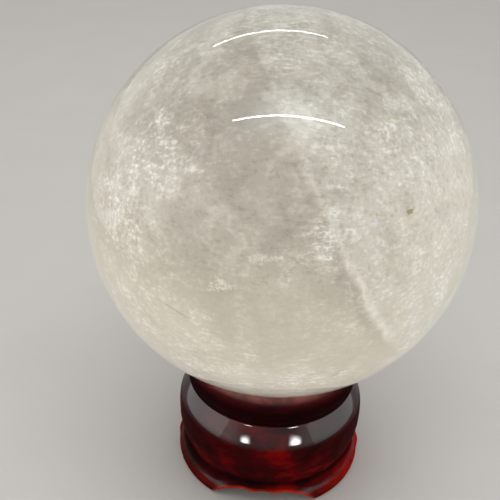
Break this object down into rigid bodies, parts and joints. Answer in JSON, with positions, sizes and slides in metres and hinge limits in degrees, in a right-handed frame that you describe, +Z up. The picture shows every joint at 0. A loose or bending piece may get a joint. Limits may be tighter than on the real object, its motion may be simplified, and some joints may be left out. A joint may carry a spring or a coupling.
{
  "type": "crystal ball on stand",
  "caption": "Polished solid quartz ball resting in the dished ring of a small turned and red-lacquered wooden stand with bracket feet; the ball lifts off.",
  "frame": {"origin": "on the surface that the stand rests on, at the middle of its footprint and under the ball's centre", "axes": "+Z up through the ball's centre; -Y is the front, where one of the three openings between the feet is; +X is to the right seen from the front"},
  "size_m": [0.08, 0.08, 0.1068],
  "materials": {
    "quartz": "polished",
    "ring_lacquer": "gloss",
    "base_lacquer": "gloss"
  },
  "bodies": {
    "stand": {"stand_base": "base_lacquer", "seat_ring": "ring_lacquer"},
    "ball": {"crystal_ball": "quartz"}
  },
  "joints": [
    {"name": "ball_lift", "type": "slide", "parent": "stand", "child": "ball", "axis": [0, 0, 1], "range_m": [0, 0.05]}
  ]
}
